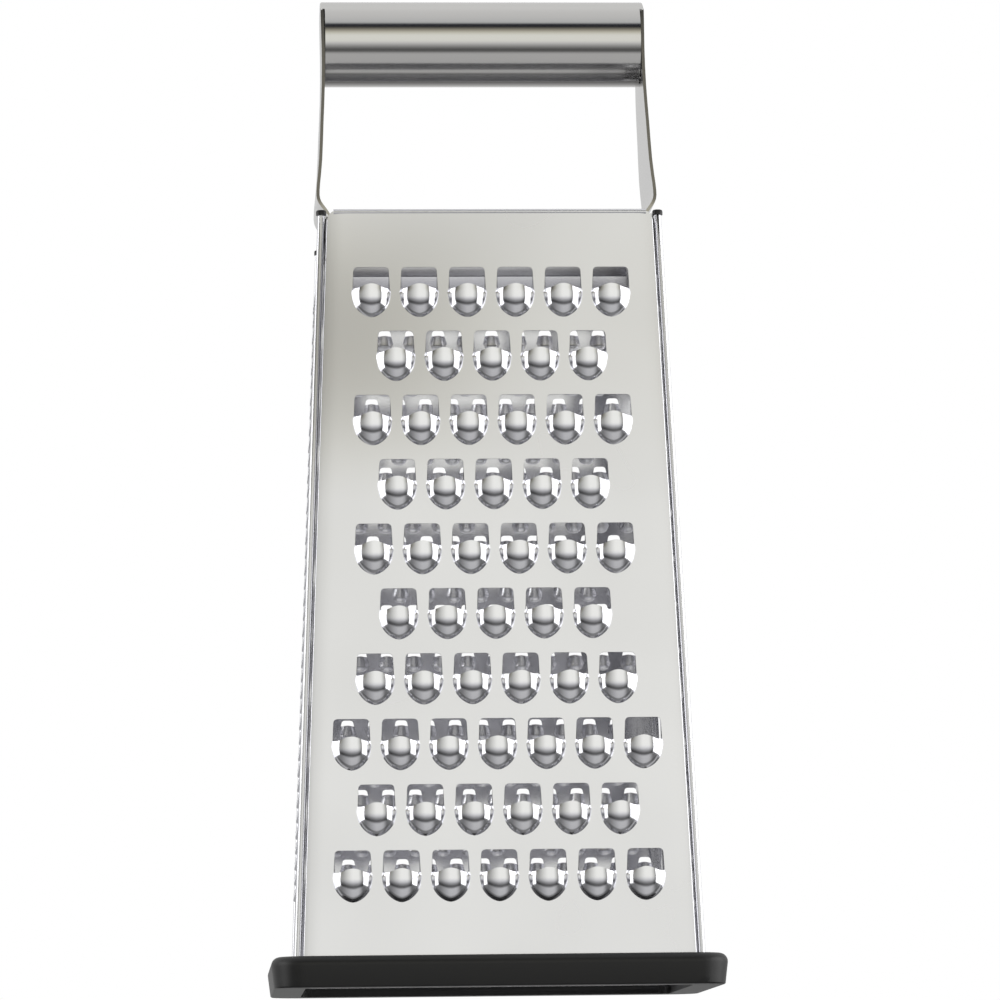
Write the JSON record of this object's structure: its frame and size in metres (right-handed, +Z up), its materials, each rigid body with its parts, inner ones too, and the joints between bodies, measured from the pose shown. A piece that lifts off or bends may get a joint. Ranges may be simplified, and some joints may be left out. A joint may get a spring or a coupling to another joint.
{
  "type": "box grater",
  "caption": "Four-sided sheet steel box grater with coarse, medium, fine and slicing sides, a strap handle rolled into a tube, and a rubber base ring.",
  "frame": {"origin": "middle of the underside of the base ring, on the surface that the grater stands on", "axes": "+Z up; the coarse side faces -Y and the handle's tube runs along X"},
  "size_m": [0.1122, 0.085, 0.2538],
  "materials": {
    "satin_steel": "satin",
    "polished_steel": "polished",
    "black_cap": "satin",
    "black_rubber": "satin"
  },
  "bodies": {
    "grater": {"front_panel": "satin_steel", "back_panel": "satin_steel", "left_panel": "satin_steel", "right_panel": "satin_steel", "handle": "polished_steel", "front_left_cap": "black_cap", "front_right_cap": "black_cap", "back_left_cap": "black_cap", "back_right_cap": "black_cap"},
    "ring": {"base_ring": "black_rubber"}
  },
  "joints": [
    {"name": "ring_pull_off", "type": "slide", "parent": "grater", "child": "ring", "axis": [0, 0, 1], "range_m": [-0.03, 0]}
  ]
}
